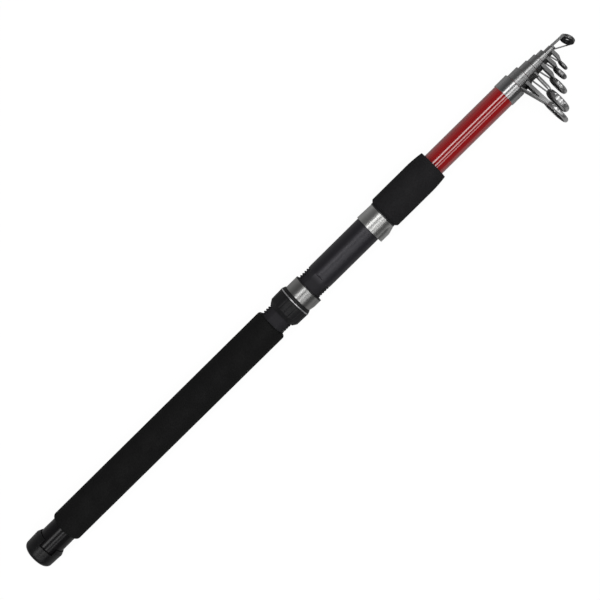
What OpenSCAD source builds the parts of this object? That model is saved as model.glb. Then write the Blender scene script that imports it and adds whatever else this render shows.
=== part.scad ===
// Telescopic fishing rod, pushed together and lying on its side.
// The rod's axis is X with the tip at +X, the flat end of the butt cap is at x = 0,
// and the line guides point along -Y. Sizes are in millimetres.

/* [Butt cap] */
// Length of the rubber cap over the butt end
cap_len = 18.6; // [16:0.1:24]
// Wall of the cap near its flat end
cap_rear_wall = 1.4; // [1:0.1:2]
// Thickest wall of the cap, behind its front lip
cap_front_wall = 1.8; // [1.4:0.1:2.2]
// Rounding of the cap's flat end
cap_edge_r = 4; // [2:0.1:5]
// Thickness of the rubber behind the plug
cap_floor = 7; // [5.5:0.1:8.5]
// Length of the tapered lip at the cap's mouth
cap_lip_len = 3.1; // [1.5:0.1:4]
// Wall of the cap at its mouth
cap_mouth_wall = 0.5; // [0.3:0.1:1]
// Width of the notch on two sides of the cap
notch_w = 13.2; // [8:0.1:18]
// How far the notch runs back from the cap's mouth
notch_depth = 6.2; // [3:0.1:8]
// Turn of the notches about the rod
notch_turn = 10; // [0:1:45]
// Wall of the threaded insert around the screw plug
insert_wall = 1.72; // [1:0.02:2]
// Length of the screw plug in front of its flange
plug_len = 13.5; // [10:0.1:18]
// Thickness of the plug's flange
plug_flange = 1.4; // [1:0.1:2]
// Thickness of the pad on the plug
pad_len = 2.5; // [1:0.1:4]
// Diameter of the sealing ring's section
seal_d = 1.4; // [1:0.1:1.8]

/* [Handle] */
// Growth of the blank's diameter from the reel seat to the butt end
butt_gain = 3.6; // [2.8:0.1:4]
// Drop of the blank's diameter from the reel seat to its front end
blank_drop = 0.46; // [0.2:0.02:1]
// Bare length of blank between cap and rear grip
bare_butt_len = 16; // [8:0.5:30]
// Thickness of the rear grip's foam at the reel seat
rear_grip_wall = 4.12; // [4.06:0.02:6]
// Length of the rear grip
rear_grip_len = 238.8; // [180:0.1:280]
// Rounding of the rear grip's ends
rear_grip_round = 2.4; // [0.5:0.1:2.8]
// How far the fore grip stands above the barrel
fore_grip_rise = 2.75; // [2:0.05:3.75]
// Drop of the fore grip's radius to its front end
fore_grip_drop = 1.3; // [0.5:0.05:2.2]
// Length of the fore grip
fore_grip_len = 55.2; // [40:0.1:70]
// Length over which the fore grip narrows
fore_grip_taper_len = 17; // [8:0.5:30]
// Chamfer on the fore grip's rear edge
fore_grip_chamfer = 2; // [0.5:0.1:3]
// Bare red length of blank in front of the fore grip
bare_front_len = 76.7; // [50:0.1:110]

/* [Reel seat] */
// Outside diameter of the sliding hood, which the barrel and all inside it follow
hood_d = 26.1; // [24.5:0.1:28.5]
// Wall of the lining between the sliding hood and the barrel
liner_wall = 0.52; // [0.4:0.02:0.8]
// Wall of the barrel
seat_wall = 1.29; // [1.2:0.01:1.6]
// Length of the barrel
seat_len = 123.1; // [110:0.1:140]
// Length of the threaded part
thread_len = 54.6; // [48:0.1:60]
// Depth of the reel foot's flat in the barrel
deck_drop = 0.3; // [0.2:0.05:0.85]
// Depth of the guiding flats in the threaded part
key_drop = 0.75; // [0.4:0.05:0.85]
// Wall of the packing rings between blank and barrel
arbor_wall = 0.3; // [0.2:0.05:0.6]
// Length of each packing ring
arbor_len = 14; // [8:0.5:24]
// Wall of the nut around the end of the lining
nut_wall = 1.38; // [1.1:0.02:2]
// Length of the nut
nut_len = 18.1; // [16:0.1:22]
// Distance from the rear grip to the nut
nut_standoff = 10.5; // [10:0.1:14]
// Length of the nut's rear chamfer
nut_chamfer = 3.4; // [2:0.1:4]
// Number of finger grooves around the nut
nut_grooves = 18; // [12:1:24]
// Distance of the trim ring from the nut's front end
trim_setback = 3.6; // [3:0.1:5]
// Width of the trim ring
trim_w = 1.1; // [0.8:0.1:1.6]
// Length of the sliding hood with its lining
hood_len = 12; // [10:0.1:15]
// How far the sliding hood's pocket stands out of its round
hood_flare = 1.05; // [0.75:0.05:1.55]
// Wall of the fixed hood
fixed_hood_wall = 0.97; // [0.8:0.01:1.4]
// Length of the fixed hood
fixed_hood_len = 15.1; // [13:0.1:20]
// How far the fixed hood's pocket stands out of its round
fixed_hood_flare = 1.75; // [1.3:0.05:2.2]
// Radius of the pockets that hold the reel's foot
pocket_r = 8.8; // [8:0.1:10]
// Share of each pocket's length, from its mouth, that runs level with the rod
pocket_level = 0.5; // [0.2:0.05:0.6]
// Length of the ring between seat and fore grip
end_ring_len = 1.5; // [1:0.1:3]

/* [Telescopic sections] */
// Length of the ferrule on the butt blank
ferrule_len = 12.4; // [10:0.1:16]
// Drop in diameter from the ferrule to the second section's sleeve
step_2 = 3; // [2.6:0.05:3.3]
// Drop in diameter from the second to the third sleeve
step_3 = 2.9; // [1.8:0.05:3.1]
// Drop in diameter from the third to the fourth sleeve
step_4 = 2; // [1.6:0.05:2.4]
// Drop in diameter from the fourth to the fifth sleeve
step_5 = 2.5; // [1.6:0.05:2.7]
// Length of the second section's sleeve
sleeve_2_len = 10; // [8:0.1:14]
// Length of the third section's sleeve
sleeve_3_len = 8.4; // [7:0.1:12]
// Length of the fourth section's sleeve
sleeve_4_len = 7.5; // [6:0.1:10]
// Length of the fifth section's sleeve
sleeve_5_len = 6; // [5:0.1:9]
// Wall of the ferrule and the sleeves
sleeve_wall = 0.45; // [0.4:0.05:0.6]
// Length of one section that stays in the next when drawn out
overlap = 65; // [40:1:90]
// Distance from the plug's pad to the rear end of the second section
nest_gap = 3; // [1:0.5:10]
// Step from the rear end of one section to that of the next
nest_step = 2; // [1:0.5:5]
// Wall of the fifth section where the tip locks in it
tip_socket_wall = 0.87; // [0.6:0.01:1.1]
// Diameter of the tip's thin end
tip_d = 2.6; // [2:0.1:3]

/* [Line guides] */
// Reach of the first guide from the rod's axis
guide_1_reach = 49.6; // [46:0.1:54]
// Outside diameter of the first guide's rim
guide_1_rim_d = 25; // [22:0.1:27]
// Depth of the first guide's rim along the line
guide_1_rim_len = 3.8; // [3.4:0.1:4.4]
// Forward lean of the first guide
guide_1_rake = 2.5; // [0:0.5:3]
// Reach of the second guide from the rod's axis
guide_2_reach = 44; // [40:0.1:47]
// Outside diameter of the second guide's rim
guide_2_rim_d = 23; // [20:0.1:25]
// Depth of the second guide's rim along the line
guide_2_rim_len = 6; // [5:0.1:6.4]
// Forward lean of the second guide
guide_2_rake = 0; // [0:0.5:4]
// Reach of the third guide from the rod's axis
guide_3_reach = 33; // [30:0.1:36]
// Outside diameter of the third guide's rim
guide_3_rim_d = 17.6; // [15:0.1:19]
// Depth of the third guide's rim along the line
guide_3_rim_len = 4.4; // [3.8:0.1:4.8]
// Forward lean of the third guide
guide_3_rake = 1; // [0:0.5:5]
// Reach of the fourth guide from the rod's axis
guide_4_reach = 24.8; // [22:0.1:27]
// Outside diameter of the fourth guide's rim
guide_4_rim_d = 13; // [12:0.1:14]
// Depth of the fourth guide's rim along the line
guide_4_rim_len = 3.8; // [3.2:0.1:4]
// Forward lean of the fourth guide
guide_4_rake = 4.5; // [0:0.5:6]
// Reach of the loose guide from the rod's axis
guide_5_reach = 20.2; // [18:0.1:22]
// Outside diameter of the loose guide's rim
guide_5_rim_d = 9.4; // [8.6:0.1:11]
// Depth of the loose guide's rim along the line
guide_5_rim_len = 2.6; // [2.2:0.1:2.8]
// Forward lean of the loose guide
guide_5_rake = 1; // [0:0.5:6]
// Outside diameter of the loose guide's sleeve
loose_sleeve_d = 6.2; // [5.8:0.1:6.8]
// Length of the loose guide's sleeve
loose_sleeve_len = 6.5; // [6:0.1:10]
// Thickness of the guides' stamped sheet
sheet_t = 0.7; // [0.5:0.05:0.9]
// Width of the open guide's two side legs
side_leg_w = 1.9; // [0.8:0.1:2.4]
// Depth of the bent edges along a guide's sheet
flange_w = 2; // [1:0.1:2.4]
// Thickness of the rear braces
brace_t = 1.1; // [0.7:0.1:1.2]
// Width of the narrow rear braces
brace_w = 2; // [1.2:0.1:2.4]
// Distance from a sleeve's front end to the guide's sheet
plate_setback = 2.2; // [0.6:0.1:3]
// Distance between the holes in a rim
hole_pitch = 3.7; // [3:0.1:5]

/* [Tip top] */
// Outside diameter of the tip's end tube
tip_tube_d = 4.6; // [4:0.1:4.6]
// Length of the end tube in front of the loose guide's sleeve
tip_tube_show = 2; // [1.6:0.1:6]
// Diameter of the end guide's rim
tip_rim_d = 12.2; // [11:0.1:14]
// Wall of the end guide's rim
tip_rim_wall = 0.7; // [0.5:0.1:1]
// Radial thickness of the end guide's ring
tip_ring_t = 3.2; // [1.6:0.1:3.3]
// Distance from the end tube to the middle of the end guide
tip_ring_ahead = 10.6; // [9:0.1:14]
// Distance of the middle of the end guide from the rod's axis
tip_ring_offset = 4.9; // [3.5:0.1:8]
// Forward lean of the end guide
tip_lean = 29; // [20:1:50]
// Turn of the tip section about the rod, from the other guides
tip_twist = 43; // [0:1:90]
// Width of the end guide's two flat legs
tip_leg_w = 2.2; // [1.4:0.1:2.6]
// Thickness of the end guide's two flat legs
tip_leg_t = 1.1; // [0.7:0.1:1.2]
// Turn of the flat legs about their own length
tip_leg_roll = 45; // [0:5:60]

/* [Fits] */
// Glue line between pieces that don't move
glue_gap = 0.03; // [0.02:0.01:0.05]
// Gap between pieces that slide or turn
slide_gap = 0.3; // [0.2:0.05:0.35]
// Gap in the screw threads, which are plain cylinders here
thread_gap = 0.08; // [0.05:0.01:0.1]
// Gap where one section locks in the next
lock_gap = 0.1; // [0.05:0.05:0.15]
// How far a sleeve overhangs the bore that it stops against
stop_lip = 0.15; // [0.1:0.05:0.2]

/* [Hidden] */
$fn = 64;

// Places along the rod
plug_front = cap_floor + plug_flange + plug_len;
pad_front = plug_front + pad_len;
blank_rear = cap_floor + plug_flange + seal_d + slide_gap;
rear_grip_x = cap_len + bare_butt_len;
seat_rear = rear_grip_x + rear_grip_len;
seat_front = seat_rear + seat_len;
thread_front = seat_rear + thread_len;
nut_rear = seat_rear + nut_standoff;
nut_front = nut_rear + nut_len;
hood_rear = nut_front + slide_gap;
hood_front = hood_rear + hood_len;
fixed_hood_x = seat_front - fixed_hood_len;
fore_grip_x = seat_front + end_ring_len;
fore_grip_front = fore_grip_x + fore_grip_len;
ferrule_x = fore_grip_front + bare_front_len;

// Radii from the sliding hood inwards to the blank
steel_t = 0.45;
liner_r = hood_d / 2 - steel_t - glue_gap;
liner_bore_r = liner_r - liner_wall;
seat_r = liner_bore_r - slide_gap;
seat_d = 2 * seat_r;
seat_bore_r = seat_r - seat_wall;
arbor_r = seat_bore_r - glue_gap;
seat_blank_d = 2 * (arbor_r - arbor_wall - glue_gap);
butt_d = seat_blank_d + butt_gain;
ferrule_d = seat_blank_d - blank_drop + 2 * (sleeve_wall + glue_gap);

// Nested sections: 1 is the butt blank and 5 carries the tip
steps = [0, step_2, step_3, step_4, step_5];
sleeve_lens = [ferrule_len, sleeve_2_len, sleeve_3_len, sleeve_4_len, sleeve_5_len];
function total(list, count) = count == 0 ? 0 : list[count - 1] + total(list, count - 1);
function sleeve_d(n) = ferrule_d - total(steps, n);
function sleeve_rear(n) = ferrule_x + total(sleeve_lens, n - 1) + (n - 1) * slide_gap;
function sleeve_front(n) = sleeve_rear(n) + sleeve_lens[n - 1];
function front_d(n) = sleeve_d(n) - 2 * sleeve_wall - 2 * glue_gap;
function bore_d(n) = n < 5 ? sleeve_d(n + 1) - 2 * stop_lip : front_d(n) - 2 * tip_socket_wall;
function wall(n) = (front_d(n) - bore_d(n)) / 2;
function section_rear(n) = pad_front + nest_gap + (n - 2) * nest_step;
function section_len(n) = sleeve_front(n) - section_rear(n);
function lock_d(n) = bore_d(n - 1) - 2 * lock_gap;
function taper(n) = (lock_d(n) - front_d(n)) / (section_len(n) - overlap);
function rear_d(n) = front_d(n) + taper(n) * section_len(n);

// Radius of the butt blank along the rod
butt_line = [
    [blank_rear, butt_d / 2],
    [seat_rear, seat_blank_d / 2],
    [sleeve_front(1), front_d(1) / 2]
];
function blank_r(x) = lookup(x, butt_line);

// Butt cap and grips
cap_bore_r = butt_d / 2 + slide_gap;
plug_d = butt_d - 2 * (wall(1) + glue_gap + insert_wall + thread_gap);
rear_grip_r = seat_blank_d / 2 + glue_gap + rear_grip_wall;
fore_grip_r = seat_r + fore_grip_rise;

// Reel seat
deck_h = seat_r - deck_drop;
deck_relief = 0.1;
key_flat_h = seat_r - key_drop;
nut_bore_r = seat_r + thread_gap;
nut_rear_wall = 0.6;
nut_mouth_wall = 0.32;
nut_lip_len = 0.9;
trim_depth = 0.6;
trim_proud = 0.1;
groove_r = 0.7;
groove_depth = 0.25;
liner_edge = 0.8;
neck_len = 4;
bead_len = 2;
bead_h = 0.55;
nut_lip_r = liner_r + slide_gap;
nut_recess_r = liner_r + bead_h + slide_gap;
nut_r = nut_recess_r + nut_wall;
hood_reach = hood_d / 2 + hood_flare;
fixed_hood_r = seat_r + glue_gap + fixed_hood_wall;
fixed_hood_reach = fixed_hood_r + fixed_hood_flare;
pocket_wall = 0.7;
pocket_back = 2.6;
key_w = 6;
key_len = 3;

// Guides: the first four sit on the sleeves of sections 2 to 5, the fifth on its own sleeve
guide_reach = [guide_1_reach, guide_2_reach, guide_3_reach, guide_4_reach, guide_5_reach];
guide_rim_d = [guide_1_rim_d, guide_2_rim_d, guide_3_rim_d, guide_4_rim_d, guide_5_rim_d];
guide_rim_len = [guide_1_rim_len, guide_2_rim_len, guide_3_rim_len, guide_4_rim_len, guide_5_rim_len];
guide_rake = [guide_1_rake, guide_2_rake, guide_3_rake, guide_4_rake, guide_5_rake];
guide_is_open = [false, true, false, false, false];
guide_is_wide = [true, false, false, false, false];
guide_edge_way = [-1, 0.5, 1, 1, 1];
loose_sleeve_x = sleeve_front(5) + slide_gap;
loose_sleeve_front = loose_sleeve_x + loose_sleeve_len;
function carrier_r(k) = (k < 5 ? sleeve_d(k + 1) : loose_sleeve_d) / 2;
function carrier_rear(k) = k < 5 ? sleeve_rear(k + 1) : loose_sleeve_x;
function carrier_len(k) = k < 5 ? sleeve_lens[k] : loose_sleeve_len;
function plate_x(k) = carrier_rear(k) + carrier_len(k) - plate_setback - sheet_t;
function rake(k) = guide_rake[k - 1];
function rim_r(k) = guide_rim_d[k - 1] / 2;
function cup_r(k) = guide_rim_len[k - 1] / 2;
function cup_x(k) = -cup_setback * cup_r(k);
function cup_mid_r(k) = rim_r(k) - cup_r(k);
function rim_t(k) = min(sheet_t, rim_wall_share * cup_r(k));
function hollow_r(k) = cup_r(k) - rim_t(k);
function hole_d(k) = hole_share * cup_r(k);
function hole_x(k) = cup_x(k) + hole_ahead * cup_r(k);
function ring_far(k) = guide_reach[k - 1] / cos(rake(k)) - rim_r(k);
function leaned(k, x, far) = [
    plate_x(k) + x * cos(rake(k)) + far * sin(rake(k)),
    x * sin(rake(k)) - far * cos(rake(k))
];
saddle_share = 0.55;
brace_angle = 37;
cup_setback = 0.4;
rim_wall_share = 0.35;
hole_share = 0.5;
hole_ahead = 0.45;
web_share = 0.62;
web_inset = 0.1;
web_t = sheet_t - 2 * web_inset;
foot_margin = 0.5;

// Tip
tip_tube_x = loose_sleeve_x + foot_margin;
tip_tube_front = loose_sleeve_front + tip_tube_show;
tip_end_wall = 0.6;
tip_front = tip_tube_front - tip_end_wall - glue_gap;
tip_rear = section_rear(6);
tip_lock_x = tip_rear + overlap;
tip_lock_d = lock_d(6);
tip_line = [[tip_lock_x, tip_lock_d / 2], [tip_front, tip_d / 2]];
function tip_r(x) = lookup(x, tip_line);
tip_ring_x = tip_tube_front + tip_ring_ahead;
tip_rim_r = tip_rim_d / 2;
tip_rim_len = 2.6;
loose_sleeve_wall = 0.45;

// Turns its children, drawn as radius and place along the rod, about the rod's axis
module turned() {
    rotate([0, 90, 0])
        rotate_extrude()
            children();
}

// Round solid from x0 to x1 with end radii r0 and r1
module cone(x0, x1, r0, r1) {
    translate([x0, 0, 0])
        rotate([0, 90, 0])
            cylinder(h = x1 - x0, r1 = r0, r2 = r1);
}

// Straight tube from x0 to x1 with chamfered outer edges
module sleeve(x0, x1, outer_r, inner_r) {
    edge = min(outer_r - inner_r, (x1 - x0) / 2) / 2;
    turned()
        polygon([
            [inner_r, x0], [outer_r - edge, x0], [outer_r, x0 + edge],
            [outer_r, x1 - edge], [outer_r - edge, x1], [inner_r, x1]
        ]);
}

// Round wire between two points
module wire(from, to, d) {
    run = to - from;
    translate(from)
        rotate([0, acos(run[2] / norm(run)), atan2(run[1], run[0])])
            cylinder(h = norm(run), d = d);
}

// Flat strip between two points, turned about its own length
module strip(from, to, w, t, roll) {
    run = to - from;
    translate(from)
        rotate([0, acos(run[2] / norm(run)), atan2(run[1], run[0])])
            rotate([0, 0, roll])
                translate([-w / 2, -t / 2, 0])
                    cube([w, t, norm(run)]);
}

// Slab across the rod from x0 to x1
module slab(x0, x1) {
    size = 100;
    translate([x0, -size / 2, -size / 2])
        cube([x1 - x0, size, size]);
}

// Sloping round bar on the guide side, with its reach from the axis at two places
module slope(x0, reach0, x1, reach1, r) {
    rise = (reach1 - reach0) / (x1 - x0);
    run_out = 5;
    wire(
        [x0 - run_out, r - reach0 + rise * run_out, 0],
        [x1 + run_out, r - reach1 - rise * run_out, 0],
        2 * r
    );
}

// Round pocket on the guide side, level from its mouth and then sloping to its back
module pocket(x0, reach0, x1, reach1, r) {
    reach = max(reach0, reach1);
    extra = abs(reach1 - reach0) * pocket_level / (1 - pocket_level);
    intersection() {
        slope(x0, reach, x1, reach, r);
        if (reach0 > reach1)
            slope(x0, reach0 + extra, x1, reach1, r);
        else
            slope(x0, reach0, x1, reach1 + extra, r);
    }
}

module butt_cap() {
    rear_r = cap_bore_r + cap_rear_wall;
    front_r = cap_bore_r + cap_front_wall;
    color([0.07, 0.07, 0.08])
        difference() {
            turned()
                difference() {
                    union() {
                        square([rear_r - cap_edge_r, cap_floor]);
                        translate([rear_r - cap_edge_r, cap_edge_r])
                            intersection() {
                                circle(r = cap_edge_r);
                                translate([0, -cap_edge_r])
                                    square(cap_edge_r);
                            }
                        polygon([
                            [0, cap_edge_r], [rear_r, cap_edge_r], [front_r, cap_len - cap_lip_len],
                            [cap_bore_r + cap_mouth_wall, cap_len], [0, cap_len]
                        ]);
                    }
                    translate([0, cap_floor])
                        square([cap_bore_r, cap_len]);
                }
            rotate([notch_turn, 0, 0])
                translate([cap_len - notch_depth, -notch_w / 2, -2 * front_r])
                    cube([cap_len, notch_w, 4 * front_r]);
        }
}

module cap_plug() {
    flange_r = cap_bore_r - glue_gap;
    base = cap_floor + glue_gap;
    color([0.12, 0.12, 0.13])
        union() {
            cone(base, cap_floor + plug_flange, flange_r, flange_r);
            cone(base, plug_front, plug_d / 2, plug_d / 2);
        }
}

module cap_pad() {
    pad_r = plug_d / 2 - slide_gap;
    color([0.25, 0.22, 0.18])
        cone(plug_front + glue_gap, pad_front, pad_r, pad_r);
}

module cap_seal() {
    ring_r = plug_d / 2 + thread_gap + seal_d / 2;
    color([0.05, 0.05, 0.05])
        turned()
            translate([ring_r, cap_floor + plug_flange + slide_gap / 2 + seal_d / 2])
                circle(d = seal_d);
}

module butt_insert() {
    insert_front = plug_front + foot_margin;
    color([0.2, 0.2, 0.21])
        turned()
            polygon([
                [plug_d / 2 + thread_gap, blank_rear],
                [blank_r(blank_rear) - wall(1) - glue_gap, blank_rear],
                [blank_r(insert_front) - wall(1) - glue_gap, insert_front],
                [plug_d / 2 + thread_gap, insert_front]
            ]);
}

module butt_blank() {
    outer = [for (p = butt_line) [p[1], p[0]]];
    inner = [for (i = [2:-1:0]) [butt_line[i][1] - wall(1), butt_line[i][0]]];
    color([0.62, 0.09, 0.11])
        turned()
            polygon(concat(outer, inner));
}

module rear_grip() {
    r = rear_grip_r;
    edge = rear_grip_round;
    color([0.09, 0.09, 0.09])
        turned()
            difference() {
                union() {
                    translate([0, rear_grip_x])
                        square([r - edge, rear_grip_len]);
                    translate([0, rear_grip_x + edge])
                        square([r, rear_grip_len - 2 * edge]);
                    for (x = [rear_grip_x + edge, seat_rear - edge])
                        translate([r - edge, x])
                            circle(r = edge);
                }
                polygon([
                    [0, rear_grip_x - 1],
                    [blank_r(rear_grip_x) + glue_gap, rear_grip_x - 1],
                    [blank_r(rear_grip_x) + glue_gap, rear_grip_x],
                    [blank_r(seat_rear) + glue_gap, seat_rear],
                    [blank_r(seat_rear) + glue_gap, seat_rear + 1],
                    [0, seat_rear + 1]
                ]);
            }
}

module reel_seat_barrel() {
    x0 = seat_rear + glue_gap;
    deck_end = seat_front - pocket_back;
    relief_h = deck_h - deck_relief;
    color([0.2, 0.2, 0.22])
        difference() {
            cone(x0, seat_front, seat_r, seat_r);
            cone(x0 - 1, seat_front + 1, seat_bore_r, seat_bore_r);
            translate([x0 - 1, -seat_d, -seat_r])
                cube([deck_end - x0 + 1, seat_d - deck_h, seat_d]);
            for (span = [[x0 - 1, thread_front], [fixed_hood_x - slide_gap, deck_end]])
                translate([span[0], -seat_d, -seat_r])
                    cube([span[1] - span[0], seat_d - relief_h, seat_d]);
            for (side = [0, 1])
                mirror([0, 0, side])
                    translate([x0 - 1, -seat_r, key_flat_h])
                        cube([thread_front - x0 + 1, seat_d, seat_r]);
        }
}

module seat_arbors() {
    first = seat_rear + arbor_len;
    pitch = (seat_len - 3 * arbor_len) / 2;
    color([0.75, 0.68, 0.5])
        for (x = [first, first + pitch, first + 2 * pitch])
            turned()
                polygon([
                    [blank_r(x) + glue_gap, x], [arbor_r, x],
                    [arbor_r, x + arbor_len], [blank_r(x + arbor_len) + glue_gap, x + arbor_len]
                ]);
}

module lock_nut() {
    rear_r = nut_bore_r + nut_rear_wall;
    body_r = nut_r - groove_depth;
    trim_x = nut_front - trim_setback;
    mouth_r = nut_recess_r + nut_mouth_wall;
    color([0.1, 0.1, 0.11])
        difference() {
            turned()
                polygon([
                    [nut_bore_r, nut_rear], [rear_r, nut_rear], [body_r, nut_rear + nut_chamfer],
                    [nut_r, trim_x], [nut_r - trim_depth, trim_x],
                    [nut_r - trim_depth, trim_x + trim_w], [nut_r - trim_proud, trim_x + trim_w],
                    [mouth_r, nut_front], [nut_lip_r, nut_front],
                    [nut_lip_r, nut_front - nut_lip_len], [nut_recess_r, nut_front - nut_lip_len],
                    [nut_recess_r, nut_front - neck_len], [nut_bore_r, nut_front - neck_len]
                ]);
            for (i = [0:nut_grooves - 1])
                rotate([i * 360 / nut_grooves, 0, 0])
                    translate([0, 0, nut_r + groove_r - 2 * groove_depth])
                        cone(nut_rear, trim_x - trim_w, groove_r, groove_r);
        }
}

module nut_trim_ring() {
    x = nut_front - trim_setback;
    color([0.85, 0.85, 0.86])
        sleeve(x + glue_gap, x + trim_w - glue_gap, nut_r + trim_proud, nut_r - trim_depth + glue_gap);
}

module sliding_hood() {
    end = hood_front - liner_edge;
    color([0.78, 0.78, 0.76])
        difference() {
            intersection() {
                union() {
                    cone(hood_rear, end, hood_d / 2, hood_d / 2);
                    pocket(hood_rear, hood_d / 2, end, hood_reach, pocket_r);
                }
                slab(hood_rear, end);
            }
            cone(hood_rear - 1, end + 1, hood_d / 2 - steel_t, hood_d / 2 - steel_t);
            pocket(hood_rear, hood_d / 2 - steel_t, end, hood_reach - steel_t, pocket_r - steel_t);
        }
}

module hood_liner() {
    end = hood_front - liner_edge;
    skin = steel_t + glue_gap;
    cavity = skin + pocket_wall;
    neck_rear = nut_front - neck_len + slide_gap;
    color([0.06, 0.06, 0.07])
        difference() {
            union() {
                cone(neck_rear, hood_front, liner_r, liner_r);
                cone(neck_rear, neck_rear + bead_len, liner_r + bead_h, liner_r + bead_h);
                intersection() {
                    pocket(hood_rear, hood_d / 2 - skin, end, hood_reach - skin, pocket_r - skin);
                    slab(hood_rear, hood_front);
                }
                difference() {
                    pocket(hood_rear, hood_d / 2, end, hood_reach, pocket_r);
                    slab(hood_rear - 2 * hood_len, end + glue_gap);
                    slab(hood_front, hood_front + 2 * hood_len);
                }
                cone(end + glue_gap, hood_front, hood_d / 2, hood_d / 2);
            }
            difference() {
                cone(neck_rear - 1, hood_front + 1, liner_bore_r, liner_bore_r);
                for (side = [0, 1])
                    mirror([0, 0, side])
                        translate([hood_rear, -key_w / 2, key_flat_h + slide_gap])
                            cube([key_len, key_w, seat_r]);
            }
            intersection() {
                pocket(hood_rear, hood_d / 2 - cavity, end, hood_reach - cavity, pocket_r - cavity);
                slab(hood_rear + pocket_back, hood_front + 1);
            }
        }
}

module fixed_hood() {
    closed_r = fixed_hood_r - steel_t;
    color([0.78, 0.78, 0.76])
        difference() {
            intersection() {
                union() {
                    cone(fixed_hood_x, seat_front, fixed_hood_r, closed_r);
                    pocket(fixed_hood_x, fixed_hood_reach, seat_front, closed_r, pocket_r);
                }
                slab(fixed_hood_x, seat_front);
            }
            cone(fixed_hood_x - 1, seat_front + 1, seat_r + glue_gap, seat_r + glue_gap);
            intersection() {
                pocket(
                    fixed_hood_x, fixed_hood_reach - pocket_wall,
                    seat_front, closed_r - pocket_wall, pocket_r - pocket_wall
                );
                slab(fixed_hood_x - 1, seat_front - pocket_back);
            }
        }
}

module seat_end_ring() {
    x0 = seat_front + glue_gap;
    x1 = fore_grip_x - glue_gap;
    color([0.08, 0.08, 0.09])
        sleeve(x0, x1, seat_r + 2 * sleeve_wall, blank_r(x0) + glue_gap);
}

module fore_grip() {
    r = fore_grip_r;
    taper_x = fore_grip_front - fore_grip_taper_len;
    bow_r = (pow(fore_grip_taper_len, 2) + pow(fore_grip_drop, 2)) / (2 * fore_grip_drop);
    color([0.1, 0.1, 0.1])
        turned()
            difference() {
                union() {
                    polygon([
                        [0, fore_grip_x], [r - fore_grip_chamfer, fore_grip_x],
                        [r, fore_grip_x + fore_grip_chamfer], [r, taper_x], [0, taper_x]
                    ]);
                    intersection() {
                        translate([r - bow_r, taper_x])
                            circle(r = bow_r, $fn = 720);
                        translate([0, taper_x])
                            square([r, fore_grip_taper_len]);
                    }
                }
                polygon([
                    [0, fore_grip_x - 1],
                    [blank_r(fore_grip_x) + glue_gap, fore_grip_x - 1],
                    [blank_r(fore_grip_x) + glue_gap, fore_grip_x],
                    [blank_r(fore_grip_front) + glue_gap, fore_grip_front],
                    [blank_r(fore_grip_front) + glue_gap, fore_grip_front + 1],
                    [0, fore_grip_front + 1]
                ]);
            }
}

module front_ferrule() {
    bore_r = blank_r(ferrule_x) + glue_gap;
    color([0.7, 0.7, 0.72])
        sleeve(ferrule_x, sleeve_front(1), ferrule_d / 2, bore_r);
}

// Tapered tube of section n
module section_blank(n) {
    front = sleeve_front(n);
    color([0.62, 0.09, 0.11])
        turned()
            polygon([
                [bore_d(n) / 2, front], [front_d(n) / 2, front],
                [rear_d(n) / 2, section_rear(n)], [rear_d(n) / 2 - wall(n), section_rear(n)]
            ]);
}

// Bright sleeve on the front end of section n
module section_sleeve(n) {
    bore_r = front_d(n) / 2 + taper(n) * sleeve_lens[n - 1] / 2 + glue_gap;
    color([0.7, 0.7, 0.72])
        sleeve(sleeve_rear(n), sleeve_front(n), sleeve_d(n) / 2, bore_r);
}

module tip_blank() {
    rear_r = tip_lock_d / 2 + taper(5) * overlap / 2;
    color([0.85, 0.85, 0.82])
        turned()
            polygon([
                [0, tip_rear], [rear_r, tip_rear], [tip_lock_d / 2, tip_lock_x],
                [tip_d / 2, tip_front], [0, tip_front]
            ]);
}

// Places its children in the middle of guide k's rim, leaning with it
module at_ring(k) {
    translate([plate_x(k), 0, 0])
        rotate([0, 0, rake(k)])
            translate([0, -ring_far(k), 0])
                children();
}

// Round ring of guide k with its section's radius r
module round_ring(k, r) {
    at_ring(k)
        turned()
            translate([cup_mid_r(k), cup_x(k)])
                circle(r = r);
}

// Row of holes around guide k's rim
module rim_holes(k) {
    count = floor(2 * PI * rim_r(k) / max(hole_pitch, 2 * hole_d(k)));
    at_ring(k)
        for (i = [0:count - 1])
            rotate([(i + 0.5) * 360 / count, 0, 0])
                translate([hole_x(k), 0, cup_mid_r(k) + rim_t(k)])
                    cylinder(h = 2 * cup_r(k), d = hole_d(k));
}

// Stamped sheet of guide k from the sleeve to the rim
module guide_plate(k) {
    width = 2 * carrier_r(k);
    top = saddle_share * carrier_r(k);
    slot_top = carrier_r(k) + 2 * sheet_t;
    slot_w = width - 2 * side_leg_w;
    translate([plate_x(k), 0, 0])
        rotate([0, 0, rake(k)])
            rotate([90, 0, 90])
                linear_extrude(sheet_t)
                    difference() {
                        translate([-ring_far(k), -width / 2])
                            square([ring_far(k) - top, width]);
                        translate([-ring_far(k), 0])
                            circle(r = cup_mid_r(k) + rim_t(k));
                        if (guide_is_open[k - 1])
                            translate([-ring_far(k), -slot_w / 2])
                                square([ring_far(k) - slot_top, slot_w]);
                    }
}

// Edges of guide k's sheet, bent back or forward from the sleeve to the rim
module guide_flanges(k) {
    side = min(carrier_r(k), rim_r(k) - sheet_t);
    top = saddle_share * carrier_r(k);
    end = ring_far(k) - sqrt(rim_r(k) * rim_r(k) - side * side);
    way = guide_edge_way[k - 1];
    sheet_x = way > 0 ? 0 : sheet_t;
    bent_x = sheet_x + way * (sheet_t + flange_w);
    if (way != 0)
        translate([plate_x(k), 0, 0])
            rotate([0, 0, rake(k)])
                for (z = [-side, side - sheet_t])
                    translate([0, 0, z])
                        linear_extrude(sheet_t)
                            polygon([
                                [sheet_x, -top], [bent_x, -top], [bent_x, 2 * flange_w - end],
                                [sheet_x + way * sheet_t, -end], [sheet_x, -end]
                            ]);
}

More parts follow.
